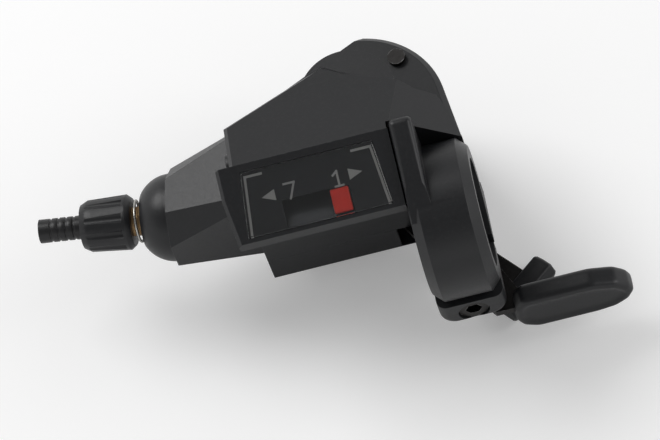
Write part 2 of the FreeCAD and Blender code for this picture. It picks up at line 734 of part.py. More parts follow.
def make_scale_plate():
    """Printed plate under the lens, with the slot that the pointer travels in."""
    body = face_body("scale_plate")
    edge = "scale_edge"
    pad(body, "XY", "-housing_wall - lens_gap - scale_thickness", "scale_thickness", [
        (f"-window_low_left - {edge} / 2", "scale_low"), (f"-window_low_right + {edge} / 2", "scale_low"),
        (f"-window_high_right + {edge}", f"lens_high + {edge} / 2"),
        (f"-window_high_left - {edge}", f"lens_high + {edge} / 2")])
    pocket(body, "XY", "-2 * housing_wall - scale_thickness", "3 * housing_wall", box_loop(
        "-pointer_x - pointer_half - rack_travel - slot_gap", "-pointer_x + pointer_half + slot_gap",
        "pointer_low - slot_gap", "pointer_high + slot_gap"))


def make_pointer_flag():
    """Red flag on the slider's arm, its top just under the lens."""
    body = new_body("pointer_flag")
    depth = "housing_wall + lens_gap"
    foot = "housing_floor + arm_level + arm_thickness"
    pad(body, "YZ", "-pointer_x - pointer_half", "2 * pointer_half", [
        face_point("pointer_low", depth), face_point("pointer_low", f"{depth} + flag_thickness"),
        ("arm_rear", foot), ("arm_rear + flag_thickness * 2", foot),
        face_point("pointer_high", f"{depth} + flag_thickness"), face_point("pointer_high", depth)])


def make_rack_slider():
    """Rack driven by the winder's gear, with an arm that rises over the rear wall."""
    body = new_body("rack_slider")
    left = "-pointer_x - pointer_half"
    pitch_line = "axle_y - rack_module * gear_teeth / 2"
    root = f"{pitch_line} - rack_module * 1.25"
    low = "sleeve_top + 0.2"
    pad(body, "XY", low, "rack_height", box_loop(left, "-rack_end", "rack_rear", root))
    tooth = tooth_loop("-axle_x - rack_module * pi", pitch_line)
    first = pad(body, "XY", low, "rack_height", tooth)
    doc.recompute()
    axis = next(f for f in body.Origin.OriginFeatures if f.Role == "X_Axis")
    row = body.newObject("PartDesign::LinearPattern", "rack_slider_row")
    row.Originals = [first]
    row.Direction = (axis, [""])
    row.setExpression("Length", bind("rack_module * pi * (rack_teeth - 1)"))
    row.setExpression("Occurrences", bind("rack_teeth"))
    body.Tip = row
    doc.recompute()
    pad(body, "XY", low, f"housing_floor + arm_level + arm_thickness - ({low})",
        box_loop(left, "-pointer_x + pointer_half", "rack_rear - rack_leg", "rack_rear"))
    pad(body, "XY", "housing_floor + arm_level", "arm_thickness",
        box_loop(left, "-pointer_x + pointer_half", "arm_rear", "rack_rear"))


def tooth_loop(centre, pitch_line):
    """One straight-sided rack tooth that points forward."""
    half = "rack_module * pi / 4 - gear_backlash"
    lean = "rack_module * tan(20 deg)"
    return [
        (f"{centre} - {half} - 1.25 * {lean}", f"{pitch_line} - rack_module * 1.25"),
        (f"{centre} + {half} + 1.25 * {lean}", f"{pitch_line} - rack_module * 1.25"),
        (f"{centre} + {half} - 0.9 * {lean}", f"{pitch_line} + rack_module * 0.9"),
        (f"{centre} - {half} + 0.9 * {lean}", f"{pitch_line} + rack_module * 0.9")]


# ---- winder -----------------------------------------------------------------------------------

def make_indicator_gear():
    """Small gear on the drum's square end; it drives the rack."""
    body = new_body("indicator_gear", AXLE)
    pitch = "rack_module * gear_teeth / 2"
    pad(body, "XY", "sleeve_top", "gear_thickness", ("0", "0", f"{pitch} + rack_module * 0.9"),
        box_loop("-gear_square", "gear_square", "-gear_square", "gear_square"))
    slack = f"gear_backlash / ({pitch}) * 100"
    gap = []
    for side, reaches in (("-", 1), ("+", -1)):
        flank = [polar(f"{pitch} - rack_module * 1.25", f"-90 {side} (76 / gear_teeth + {slack})"),
                 polar(pitch, f"-90 {side} (90 / gear_teeth + {slack})"),
                 polar(f"{pitch} + rack_module * 1.1", f"-90 {side} (144 / gear_teeth + {slack})")]
        gap += flank[::reaches]
    cut = pocket(body, "XY", "sleeve_top - 1", "gear_thickness + 2", gap)
    pattern(body, "gear_teeth", cut)


def make_cable_drum():
    """Drum that winds the cable, with a sleeve above and a square-ended hub below."""
    body = new_body("cable_drum", AXLE)
    bore = "axle_radius + running_gap"
    low = "-cable_drop - drum_height / 2"
    high = "-cable_drop + drum_height / 2"
    groove = "drum_radius - drum_groove"
    revolve(body, [
        (bore, "-ratchet_top"), ("hub_radius", "-ratchet_top"), ("hub_radius", low),
        ("drum_flange", low), ("drum_flange", "-cable_drop - 1.2"),
        (groove, "-cable_drop - drum_groove"), (groove, "-cable_drop + drum_groove"),
        ("drum_flange", "-cable_drop + 1.2"), ("drum_flange", high), ("sleeve_radius", high),
        ("sleeve_radius", "sleeve_top"), (bore, "sleeve_top")])
    pad(body, "XY", "sleeve_top", "gear_thickness", ("0", "0", bore),
        box_loop("-gear_square + 0.05", "gear_square - 0.05", "-gear_square + 0.05", "gear_square - 0.05"))
    pad(body, "XY", "-ratchet_top - ratchet_thickness", "ratchet_thickness", ("0", "0", bore),
        box_loop("-hub_square + 0.05", "hub_square - 0.05", "-hub_square + 0.05", "hub_square - 0.05"))
    pocket(body, "XY", "-cable_drop - 2", "drum_height",
           (*polar("nipple_reach", "nipple_angle"), "nipple_radius"))


def make_ratchet_wheel():
    """Toothed steel wheel: each tooth is steep on its clockwise side."""
    body = new_body("ratchet_wheel", AXLE)
    step = "360 / ratchet_teeth"
    pad(body, "XY", "-ratchet_top - ratchet_thickness", "ratchet_thickness",
        ("0", "0", "ratchet_tip"), box_loop("-hub_square", "hub_square", "-hub_square", "hub_square"))
    face = "drive_angle + pawl_sweep + tooth_lead"
    gap = [polar("ratchet_tip * 1.02", f"{face} - {step}"), polar("ratchet_tip", f"{face} - {step} + 0.6"),
           polar("ratchet_root", f"{face} - 0.5"), polar("ratchet_tip * 1.02", f"{face}")]
    cut = pocket(body, "XY", "-ratchet_top - ratchet_thickness - 1", "ratchet_thickness + 2", gap)
    pattern(body, "ratchet_teeth", cut)


def make_main_axle():
    """Bolt that everything turns on, headed below the bottom cover."""
    body = new_body("main_axle", AXLE)
    top = "bridge_bottom + bridge_thickness + axle_nut_height"
    revolve(body, [
        ("0", "-cover_bottom - axle_head_height"), ("axle_head_radius", "-cover_bottom - axle_head_height"),
        ("axle_head_radius", "-cover_bottom"), ("axle_radius", "-cover_bottom"),
        ("axle_radius", top), ("0", top)])
    pocket(body, "XY", "-cover_bottom - axle_head_height", "axle_head_height / 2", box_loop(
        "-2 * axle_head_radius", "2 * axle_head_radius", "-0.6", "0.6"))


def make_axle_nut():
    """Hexagonal nut on the axle's top end."""
    body = new_body("axle_nut", AXLE)
    corners = [polar("axle_nut_radius", str(60 * i)) for i in range(6)]
    pad(body, "XY", "bridge_bottom + bridge_thickness", "axle_nut_height", corners,
        ("0", "0", "axle_radius"))


def make_axle_bridge():
    """Steel strap that holds the axle's top end over the gear."""
    body = new_body("axle_bridge", AXLE)
    width = ("-bridge_half_width", "bridge_half_width")
    pad(body, "XY", "bridge_bottom", "bridge_thickness",
        box_loop("-bridge_reach", "bridge_reach", *width), ("0", "0", "axle_radius + running_gap"))
    for low, high in (("-bridge_reach", "-bridge_reach + bridge_thickness"),
                      ("bridge_reach - bridge_thickness", "bridge_reach")):
        pad(body, "XY", "casing_top", "bridge_bottom - casing_top", box_loop(low, high, *width))


def make_plate(name, low, hole, extra):
    """A round steel plate, flat at the rear and cut off beside the casing's slanting front."""
    body = new_body(name, AXLE)
    far = "2 * plate_radius"
    pad(body, "XY", low, "plate_thickness", ("0", "0", "plate_radius"))
    pocket(body, "XY", low, "plate_thickness", box_loop(f"-{far}", far, f"-{far}", "-plate_rear"))
    side = "axle_x - casing_left"
    pocket(body, "XY", low, "plate_thickness", [
        (side, "plate_flat_low"), ("plate_flat_reach", "plate_flat_high"),
        ("plate_flat_reach", far), (side, far)])
    pocket(body, "XY", low, "plate_thickness", ("0", "0", hole), *extra)


def make_plate_pillars():
    """Three posts between the two plates."""
    body = new_body("plate_pillars", AXLE)
    low = "-base_plate_top"
    for circle in pillar_circles("pillar_radius"):
        pad(body, "XY", low, "base_plate_top", circle)
    for circle in pillar_circles("pillar_screw"):
        pocket(body, "XY", "-pillar_thread", "pillar_thread", circle)


def make_pillar_screws():
    """Three screws through the casing's deck and the top plate into the posts."""
    body = new_body("pillar_screws", AXLE)
    for circle in pillar_circles("pillar_screw"):
        x, y, radius = circle
        pad(body, "XY", "-pillar_thread", "pillar_thread + casing_top", circle)
        pad(body, "XY", "casing_top", "1.1", (x, y, f"2 * {radius}"))


# ---- levers and pawls -------------------------------------------------------------------------

def make_lever_bush():
    """Flanged bush in the main lever's hub."""
    body = new_body("lever_bush", AXLE)
    bore = "axle_radius + running_gap"
    wall = "bush_wall"
    low = "-lever_top - lever_thickness"
    revolve(body, [(bore, f"{low} - 2"), (f"{bore} + {wall}", f"{low} - 2"), (f"{bore} + {wall}", low),
                   (f"{bore} + {wall}", "-lever_top"), (bore, "-lever_top")])


def lever_arm():
    """Plan of the arm from the axle to the paddle, close beside the clamp."""
    rear = "-axle_y - paddle_rear"
    return [
        ("-lever_hub * 0.1", "-lever_hub * 0.9"),
        ("axle_x + paddle_left - 6.5", f"{rear} + 6"),
        ("axle_x + paddle_left - 3.6", f"{rear} + 1.6"),
        ("axle_x + paddle_right - 7", f"{rear} + 1.6"),
        ("axle_x + paddle_right - 7", f"{rear} + paddle_thickness - 1.6"),
        ("axle_x + paddle_left + 3", f"{rear} + paddle_thickness - 1.6"),
        ("axle_x + paddle_left - 0.5", f"{rear} + 11"),
        ("lever_hub * 0.8", "-lever_hub * 0.4")]


def make_lever_plate():
    """Steel main lever: a hub, an ear for the drive pawl and an arm into the paddle."""
    body = new_body("lever_plate", AXLE)
    low = "-lever_top - lever_thickness"
    pad(body, "XY", low, "lever_thickness", ("0", "0", "lever_hub"))
    pad(body, "XY", low, "lever_thickness", lever_arm())
    pin = polar("pawl_pin_reach", "drive_angle")
    pad(body, "XY", low, "lever_thickness", (*pin, "pawl_boss"))
    pad(body, "XY", low, "lever_thickness", [
        ("0", "lever_hub * 0.9"), ("0", "-lever_hub * 0.5"),
        (pin[0], f"{pin[1]} - pawl_boss"), (pin[0], f"{pin[1]} + pawl_boss")])
    pocket(body, "XY", low, "lever_thickness", (*pin, "pawl_pin_radius"),
           ("0", "0", "axle_radius + running_gap + bush_wall"))


def make_lever_paddle():
    """Thumb paddle moulded over the end of the main lever."""
    body = new_body("lever_paddle", AXLE)
    front = "-axle_y - paddle_rear + paddle_thickness"
    top = "-paddle_top"
    low = "-paddle_top - paddle_height"
    left = "axle_x + paddle_left"
    right = "axle_x + paddle_right"
    pad(body, "XZ", "-axle_y - paddle_rear", "paddle_thickness", [
        (f"{left} + 2.2", top), (f"{right} - 8", top), (f"{right} - 3", f"{top} - 1.6"),
        (f"{right} - 0.8", f"{top} - 4"), (right, f"{top} - 6.2"), (f"{right} - 1.4", f"{low} + 2.4"),
        (f"{right} - 4.2", f"{low} + 0.6"), (f"{right} - 8", low), (f"{left} + 4", low),
        (f"{left} + 1", f"{low} + 1.8"), (left, f"{low} + 4.4"), (f"{left} + 0.4", f"{top} - 2.4")])
    dress(body, "Fillet", "paddle_round", lambda e: e.BoundBox.YMax - e.BoundBox.YMin < 0.01)
    pocket(body, "XY", "-lever_top - lever_thickness", "lever_thickness", lever_arm())


def pawl_loop():
    """Plan of a pawl, about the main axle with its pin on the X axis; its nose points inward."""
    tip = "ratchet_tip + pawl_clearance"
    boss = "pawl_pin_reach"
    return [
        (f"{boss} - 1.5", "-0.9"), polar("ratchet_tip + 1.7", "pawl_sweep - 12"),
        polar("ratchet_tip + 1.2", "pawl_sweep - 5.5"),
        polar(tip, "pawl_sweep - 3.6"), polar(tip, "pawl_sweep"),
        polar("ratchet_tip + 2.6", "pawl_sweep + 0.4"), (f"{boss} + 1", "1.4")]


def make_pawl(name, angle):
    """A pawl on its pin, its nose a little clear of the ratchet's teeth."""
    body = new_body(name, AXLE, FreeCAD.Vector(0, 0, 1), angle)
    low = "-ratchet_top - ratchet_thickness + 0.2"
    pad(body, "XY", low, "pawl_thickness", ("pawl_pin_reach", "0", "pawl_boss"))
    pad(body, "XY", low, "pawl_thickness", pawl_loop())
    pocket(body, "XY", low, "pawl_thickness",
           ("pawl_pin_reach", "0", "pawl_pin_radius + running_gap"))
    if name == "hold_pawl":
        pad(body, "XY", "-release_top - release_thickness + 0.2",
            f"release_top + release_thickness - 0.2 + ({low})",
            ("pawl_pin_reach - 3.2", "2.6", "stud_radius"))


def make_pawl_pin(name, angle, low, high):
    """Pin that a pawl turns on."""
    body = new_body(name, AXLE, FreeCAD.Vector(0, 0, 1), angle)
    pad(body, "XY", low, f"({high}) - ({low})", ("pawl_pin_reach", "0", "pawl_pin_radius"))


def make_pawl_spring(name, angle):
    """Leaf behind a pawl that turns its nose into the teeth."""
    body = new_body(name, AXLE, FreeCAD.Vector(0, 0, 1), angle)
    low = "-ratchet_top - ratchet_thickness + 0.5"
    pad(body, "XY", low, "pawl_thickness / 2", [
        ("pawl_pin_reach + 0.6", "3"), ("pawl_pin_reach - 3.1", "7"),
        ("pawl_pin_reach - 2.8", "7.2"), ("pawl_pin_reach + 0.9", "3.2")])


def make_release_plate():
    """Release lever: a hub, a finger beside the hold pawl's stud and a cranked arm."""
    body = new_body("release_plate", AXLE)
    low = "-release_top - release_thickness"
    pad(body, "XY", low, "release_thickness", ("0", "0", "release_hub"))
    stud = f"{HOLD_ANGLE} + 14"
    finger = f"{stud} - release_travel - 7.5"
    pad(body, "XY", low, "release_thickness", [
        polar("release_hub - 2", f"{finger} - 20"), polar("pawl_pin_reach - 1.4", f"{finger} - 12"),
        polar("pawl_pin_reach - 1.4", f"{finger}"), polar("release_hub - 2", f"{finger} + 8")])
    pad(body, "XY", low, "release_thickness", release_arm("2", "release_knee + release_thickness"))
    pad(body, "XY", "-release_drop - release_thickness",
        "release_drop - release_top + release_thickness",
        release_arm("release_knee", "release_knee + release_thickness"))
    pad(body, "XY", "-release_drop - release_thickness", "release_thickness",
        release_arm("release_knee", "release_reach"))
    pocket(body, "XY", low, "release_thickness", ("0", "0", "axle_radius + running_gap"))


def release_arm(start, end):
    """Plan of a stretch of the release arm between two reaches from the axle."""
    return [polar_beside(start, "-release_half"), polar_beside(end, "-release_half"),
            polar_beside(end, "release_half"), polar_beside(start, "release_half")]


def polar_beside(reach, side):
    """A point at a reach along the release arm's line and a step to its left."""
    along = polar(reach, "release_angle")
    across = polar(side, "release_angle + 90")
    return f"{along[0]} + {across[0]}", f"{along[1]} + {across[1]}"


def make_release_pad():
    """Thumb pad moulded on the end of the release lever, below the main paddle."""
    body = new_body("release_pad", AXLE, FreeCAD.Vector(0, 0, 1), "release_angle")
    middle = "-release_drop - release_thickness / 2"
    pad(body, "XZ", "-release_half - 4", "2 * release_half + 8", [
        ("release_reach - 3", f"{middle} - pad_height / 2"),
        ("release_reach + 1.5", f"{middle} - pad_height / 2"),
        ("release_reach + 2.6", f"{middle}"), ("release_reach + 1.5", f"{middle} + pad_height / 2 - 1"),
        ("release_reach - 1", f"{middle} + pad_height / 2 - 1"), ("release_reach - 3", f"{middle} + 1.6")])
    dress(body, "Fillet", "pad_round", lambda e: e.BoundBox.YMax - e.BoundBox.YMin < 0.01)
    pocket(body, "XY", "-release_drop - release_thickness", "release_thickness",
           box_loop("release_knee", "release_reach", "-release_half", "release_half"))


# ---- adjuster ---------------------------------------------------------------------------------

def make_adjuster_barrel():
    """Hollow screw between the collar and the knob."""
    body = outlet_body("adjuster_barrel")
    start = "-nose_end + barrel_depth - 4"
    end = "-nose_end - knob_gap - knob_length + 3"
    revolve(body, [(start, "cable_hole"), (start, "barrel_radius"), (end, "barrel_radius"),
                   (end, "cable_hole")], along="H_Axis")


def make_adjuster_knob():
    """Lobed knob fixed on the barrel, with the casing's seat in its outer end."""
    body = outlet_body("adjuster_knob")
    near = "-nose_end - knob_gap"
    far = f"{near} - knob_length"
    step = f"{far} + 3"
    revolve(body, [(near, "barrel_radius"), (near, "knob_radius - 0.8"), (f"{near} - 1", "knob_radius"),
                   (f"{far} + 1.5", "knob_radius - 0.4"), (far, "knob_radius - 1.2"),
                   (far, "ferrule_radius + hole_gap / 2"), (step, "ferrule_radius + hole_gap / 2"),
                   (step, "barrel_radius")], along="H_Axis")
    for i in range(int(value("knob_lobes"))):
        across = polar("knob_radius + 0.55", f"360 / knob_lobes * {i}")
        pocket(body, "YZ", far, "knob_length - 1.6", (*across, "1.15"))


def make_cable_ferrule():
    """Sleeve that seats the cable's outer casing in the knob."""
    body = outlet_body("cable_ferrule")
    start = "-nose_end - knob_gap - knob_length + 3 - running_gap"
    end = f"{start} - ferrule_length"
    ribs = [(start, "cable_hole")]
    ribs.append((start, "ferrule_radius"))
    for i in range(4):
        near = f"{start} - 4.4 - {1.6 * i:.1f}"
        ribs += [(near, "ferrule_radius"), (near, "ferrule_radius - 0.2"),
                 (f"{near} - 0.5", "ferrule_radius - 0.2"), (f"{near} - 0.5", "ferrule_radius")]
    ribs += [(end, "ferrule_radius"), (end, "ferrule_bore"), (f"{start} - 1.2", "ferrule_bore"),
             (f"{start} - 1.2", "cable_hole")]
    revolve(body, ribs, along="H_Axis")


def make_springs():
    """The wire springs: two levers, the winder and the adjuster's detent."""
    coil("winder_spring", "8", "0.5", "1.25", "3", "-5.1")
    coil("lever_spring", "6.4", "0.4", "1", "1.2", "-23.9")
    coil("release_spring", "4.4", "0.3", "0.8", "2", "-24.1")
    across = polar("drum_radius", "-90 - cable_yaw")
    along = polar("nose_end + knob_gap - 0.5", "180 - cable_yaw")
    place = (f"-axle_x + {across[0]} + {along[0]}", f"axle_y + {across[1]} + {along[1]}", "-cable_drop")
    body = coil("adjuster_spring", "4.2", "0.3", "0.9", "1.3", "0", place)
    tilt = FreeCAD.Rotation(FreeCAD.Vector(0, 0, 1), -value("cable_yaw"))
    body.Placement.Rotation = tilt * FreeCAD.Rotation(FreeCAD.Vector(0, 1, 0), 90)


def check_and_export():
    """Stops on any failed object, then writes each sub-part to its own file."""
    doc.recompute()
    for item in doc.Objects:
        if "Invalid" in item.State or "Error" in item.State:
            raise ValueError(f"{item.Name} failed: {item.State}")
    os.makedirs("parts", exist_ok=True)
    for body in PARTS:
        shape = body.Shape
        if shape.isNull() or not shape.isValid() or not shape.Solids:
            raise ValueError(f"{body.Label} has no valid solid")
        shape.exportStep(f"parts/{body.Label}.step")
        print(f"{body.Label}: {len(shape.Solids)} solids, {shape.Volume:.1f} mm3")


make_clamp_band()
make_clamp_bolt()
make_clamp_nut()
make_band_screws()
make_lower_casing()
make_top_cover()
make_bottom_cover()
make_cable_plug()
make_cable_nose()
make_indicator_housing()
make_indicator_lens()
make_scale_plate()
make_pointer_flag()
make_rack_slider()
make_indicator_gear()
make_cable_drum()
make_ratchet_wheel()
make_main_axle()
make_axle_nut()
make_axle_bridge()
make_plate("top_plate", "0", "sleeve_radius + plate_gap", pillar_circles("pillar_screw + hole_gap"))
make_plate("base_plate", "-base_plate_top - plate_thickness", "hub_radius + plate_gap",
           [(*polar("pawl_pin_reach", HOLD_ANGLE), "pawl_pin_radius")])
make_plate_pillars()
make_pillar_screws()
make_lever_bush()
make_lever_plate()
make_lever_paddle()
make_pawl("drive_pawl", "drive_angle")
make_pawl("hold_pawl", HOLD_ANGLE)
make_pawl_pin("drive_pawl_pin", "drive_angle", "-lever_top - lever_thickness",
              "-ratchet_top + 0.4")
make_pawl_pin("hold_pawl_pin", HOLD_ANGLE, "-lever_top - 0.6", "-base_plate_top")
make_pawl_spring("drive_pawl_spring", "drive_angle")
make_pawl_spring("hold_pawl_spring", HOLD_ANGLE)
make_release_plate()
make_release_pad()
make_adjuster_barrel()
make_adjuster_knob()
make_cable_ferrule()
make_springs()
check_and_export()
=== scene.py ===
# %% [markdown]
# # A thumb shifter for a bicycle
# This lesson dresses a finished mechanical model of a handlebar gear shifter. The solids of the
# model arrive as a fixed frame: each has its true size and its place, and moves with its own body.
# We give them soft edges, new shapes where a form is rounder than a plain solid can show, and
# finishes that are built from nodes. All lengths in this file are in metres, so a size in
# millimetres is written as a number times MM.

# %% Load the frame
import json
import math
import bmesh
import bpy
from mathutils import Matrix, Vector


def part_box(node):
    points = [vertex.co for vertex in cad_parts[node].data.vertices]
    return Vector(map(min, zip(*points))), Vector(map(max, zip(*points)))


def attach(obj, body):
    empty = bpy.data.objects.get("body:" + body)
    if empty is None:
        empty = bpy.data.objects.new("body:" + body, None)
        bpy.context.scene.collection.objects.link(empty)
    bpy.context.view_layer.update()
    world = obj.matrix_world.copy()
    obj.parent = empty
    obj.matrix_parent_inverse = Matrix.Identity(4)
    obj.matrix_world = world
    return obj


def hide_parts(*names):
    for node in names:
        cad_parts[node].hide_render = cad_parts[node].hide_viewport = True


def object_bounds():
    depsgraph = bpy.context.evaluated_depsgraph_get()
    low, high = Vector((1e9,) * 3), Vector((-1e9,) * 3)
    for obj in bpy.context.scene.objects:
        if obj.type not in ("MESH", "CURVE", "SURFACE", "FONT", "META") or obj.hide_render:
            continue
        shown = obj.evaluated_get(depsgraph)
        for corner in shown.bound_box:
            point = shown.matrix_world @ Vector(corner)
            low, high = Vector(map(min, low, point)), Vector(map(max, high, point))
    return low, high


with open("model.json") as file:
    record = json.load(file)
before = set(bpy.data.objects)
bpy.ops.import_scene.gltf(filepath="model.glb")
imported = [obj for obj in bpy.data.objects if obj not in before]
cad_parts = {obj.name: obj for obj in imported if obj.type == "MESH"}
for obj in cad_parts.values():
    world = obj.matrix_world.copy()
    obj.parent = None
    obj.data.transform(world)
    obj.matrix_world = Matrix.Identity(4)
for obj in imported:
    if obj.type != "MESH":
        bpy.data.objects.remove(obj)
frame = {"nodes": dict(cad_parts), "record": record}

MM = 0.001
cad_low, cad_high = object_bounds()
for spare in ("Cube", "Camera", "Light"):
    if spare in bpy.data.objects:
        bpy.data.objects.remove(bpy.data.objects[spare])
print("solids:", len(frame["nodes"]))

# %% [markdown]
# ## Helpers for meshes
# A moulded or machined part never has a knife edge. On a render that small round is what catches
# the light, so it matters more than its size suggests. The first helper copies a solid of the
# frame, merges its loose triangles, removes the needless edges from its flat faces and bevels
# each sharp edge. It could also be a Bevel modifier, but done once in the mesh it is the same in
# every view. A Weighted Normal modifier then lets the large faces set the
# shading, so a flat stays flat to its rim and only the round beside it turns.

# %% Mesh helpers
MERGE = 0.002 * MM


def finished_piece(name, mesh_data, body, slot, replaced=(), sharp=35, finish=None):
    """A bmesh made an object that rides on a body, wears a finish and may stand for solids."""
    bmesh.ops.remove_doubles(mesh_data, verts=mesh_data.verts, dist=MERGE)
    bmesh.ops.recalc_face_normals(mesh_data, faces=mesh_data.faces)
    mesh = bpy.data.meshes.new(name)
    mesh_data.to_mesh(mesh)
    mesh_data.free()
    mesh.shade_smooth()
    mesh.set_sharp_from_angle(angle=math.radians(sharp))
    mesh.materials.append(finishes[finish or slot])
    piece = bpy.data.objects.new(name, mesh)
    bpy.context.scene.collection.objects.link(piece)
    level = piece.modifiers.new("level_normals", "WEIGHTED_NORMAL")
    level.keep_sharp = True
    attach(piece, body)
    if replaced:
        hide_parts(*replaced)
    print(name, "has", len(mesh.polygons), "faces")
    return piece


def copied_solid(node):
    """A solid of the frame as one closed bmesh, with no edges across its flat faces."""
    copy = bmesh.new()
    copy.from_mesh(frame["nodes"][node].data)
    bmesh.ops.remove_doubles(copy, verts=copy.verts, dist=MERGE)
    bmesh.ops.dissolve_limit(copy, angle_limit=math.radians(0.8), verts=copy.verts[:],
                             edges=copy.edges[:])
    return copy


def round_edges(mesh_data, width, segments=2, sharp=28, chosen=lambda edge: True):
    """Bevels the edges that are sharper than an angle in degrees and that a test chooses."""
    edges = [edge for edge in mesh_data.edges if len(edge.link_faces) == 2
             and edge.calc_face_angle(0) > math.radians(sharp) and chosen(edge)]
    bmesh.ops.bevel(mesh_data, geom=edges, offset=width, offset_type="OFFSET", segments=segments,
                    profile=0.5, affect="EDGES", clamp_overlap=True, material=-1)


def softened(node, width, body="housing", slot="case_plastic", segments=2):
    """A rounded copy of one solid that stands for it."""
    copy = copied_solid(node)
    round_edges(copy, width, segments)
    return finished_piece(f"soft_{node}", copy, body, slot, [node])


print("the frame is", [round(side / MM, 1) for side in cad_high - cad_low], "mm")

# %% [markdown]
# ## Finishes
# Every finish is a Principled shader with noise worked out from the object's own coordinates, so
# it sits at its true size and needs no image. Effects that several finishes share, such as the
# grain of a mould or the wear on an edge, are node groups that are built once. A group only puts
# out a pattern that changes over the surface; plain numbers stay on the shader's own sockets.

# %% Node helpers
def place(tree, kind, sockets=(), **settings):
    """Adds a node; each socket is given a number, a colour or another node's output."""
    node = tree.nodes.new(f"ShaderNode{kind}")
    for key, setting in settings.items():
        setattr(node, key, setting)
    for key, given in dict(sockets).items():
        if isinstance(given, bpy.types.NodeSocket):
            tree.links.new(given, node.inputs[key])
        else:
            node.inputs[key].default_value = given
    return node


def new_group(name, **inputs):
    """An empty group that takes a Vector and numbers, and puts out one Mask."""
    tree = bpy.data.node_groups.new(name, "ShaderNodeTree")
    tree.interface.new_socket(name="Vector", in_out="INPUT", socket_type="NodeSocketVector")
    for label, number in inputs.items():
        socket = tree.interface.new_socket(name=label, in_out="INPUT", socket_type="NodeSocketFloat")
        socket.default_value = number
    tree.interface.new_socket(name="Mask", in_out="OUTPUT", socket_type="NodeSocketFloat")
    return tree, tree.nodes.new("NodeGroupInput").outputs, tree.nodes.new("NodeGroupOutput").inputs


def math_node(tree, operation, first, second=0.0, clamp=False):
    """The result of one sum on two numbers or outputs."""
    return place(tree, "Math", {0: first, 1: second}, operation=operation, use_clamp=clamp).outputs[0]


def ramp(tree, given, low, high, to_low=0.0, to_high=1.0):
    """A value stretched from one range to another and held at its ends."""
    return place(tree, "MapRange", {"Value": given, "From Min": low, "From Max": high,
                                    "To Min": to_low, "To Max": to_high}).outputs["Result"]


# %% [markdown]
# ### Shared effects
# Wear: the Bevel node gives the normal that a rounded edge would have. Where it differs from the
# true one there is an edge, and noise breaks that line up, because hands and bags rub unevenly.
# Grain: the spark-eroded skin of a mould, a fine noise. Hairlines: the thin curves where a slow
# noise crosses its middle value. Dust: settles on what faces up. Streaks: a noise drawn out
# along one direction, for metal that was brushed or drawn.

# %% Shared effects
wear, taken, given = new_group("edge_wear", Radius=0.3 * MM, Patch=900.0)
worn_normal = place(wear, "Bevel", {"Radius": taken["Radius"]}, samples=4).outputs[0]
true_normal = place(wear, "NewGeometry").outputs["Normal"]
agreement = place(wear, "VectorMath", {0: worn_normal, 1: true_normal}, operation="DOT_PRODUCT")
edge = ramp(wear, agreement.outputs["Value"], 0.985, 0.86)
patches = place(wear, "TexNoise", {"Vector": taken["Vector"], "Scale": taken["Patch"], "Detail": 4.0})
wear.links.new(math_node(wear, "MULTIPLY", edge, ramp(wear, patches.outputs["Fac"], 0.42, 0.66)),
               given["Mask"])

grain, taken, given = new_group("mould_grain", Scale=6000.0)
fine = place(grain, "TexNoise", {"Vector": taken["Vector"], "Scale": taken["Scale"], "Detail": 3.0,
                                 "Roughness": 0.6})
grain.links.new(fine.outputs["Fac"], given["Mask"])

hairlines, taken, given = new_group("hairlines", Scale=160.0)
slow = place(hairlines, "TexNoise", {"Vector": taken["Vector"], "Scale": taken["Scale"], "Detail": 1.0})
offset = math_node(hairlines, "ABSOLUTE", math_node(hairlines, "SUBTRACT", slow.outputs["Fac"], 0.5))
thin = ramp(hairlines, offset, 0.0, 0.006, 1.0, 0.0)
breaks = place(hairlines, "TexNoise", {"Vector": taken["Vector"], "Scale": 700.0})
hairlines.links.new(math_node(hairlines, "MULTIPLY", thin, ramp(hairlines, breaks.outputs["Fac"], 0.5, 0.62)),
                    given["Mask"])

dust, taken, given = new_group("settled_dust", Scale=1500.0)
facing = place(dust, "SeparateXYZ", {"Vector": place(dust, "NewGeometry").outputs["Normal"]})
specks = place(dust, "TexNoise", {"Vector": taken["Vector"], "Scale": taken["Scale"], "Detail": 6.0,
                                  "Roughness": 0.7})
dust.links.new(math_node(dust, "MULTIPLY", ramp(dust, facing.outputs["Z"], 0.35, 1.0),
                         ramp(dust, specks.outputs["Fac"], 0.5, 0.8)), given["Mask"])

streaks, taken, given = new_group("streaks", Scale=900.0, Stretch=0.06)
squeeze = place(streaks, "CombineXYZ", {"X": 1.0, "Y": 1.0, "Z": taken["Stretch"]})
drawn = place(streaks, "VectorMath", {0: taken["Vector"], 1: squeeze.outputs[0]}, operation="MULTIPLY")
lines = place(streaks, "TexNoise", {"Vector": drawn.outputs[0], "Scale": taken["Scale"], "Detail": 5.0})
streaks.links.new(lines.outputs["Fac"], given["Mask"])
print("groups:", sorted(group.name for group in bpy.data.node_groups))


# %% Finish helpers
def new_finish(name, **numbers):
    """A material with its shader, the object's coordinates and a helper that places a group."""
    paint = bpy.data.materials.new(name)
    paint.use_nodes = True
    tree = paint.node_tree
    shader = tree.nodes["Principled BSDF"]
    for label, number in numbers.items():
        shader.inputs[label.replace("_", " ")].default_value = number
    spot = place(tree, "TexCoord").outputs["Object"]

    def effect(group, **sizes):
        node = place(tree, "Group", {}, node_tree=group)
        tree.links.new(spot, node.inputs["Vector"])
        for label, number in sizes.items():
            node.inputs[label].default_value = number
        return node.outputs["Mask"]

    return paint, tree, shader, effect


def blend_colour(tree, share, first, second):
    """A mix of two colours, or outputs, by a share."""
    node = place(tree, "Mix", {"Factor": share}, data_type="RGBA")
    for socket, colour in ((6, first), (7, second)):
        if isinstance(colour, bpy.types.NodeSocket):
            tree.links.new(colour, node.inputs[socket])
        else:
            node.inputs[socket].default_value = (*colour, 1)
    return node.outputs[2]


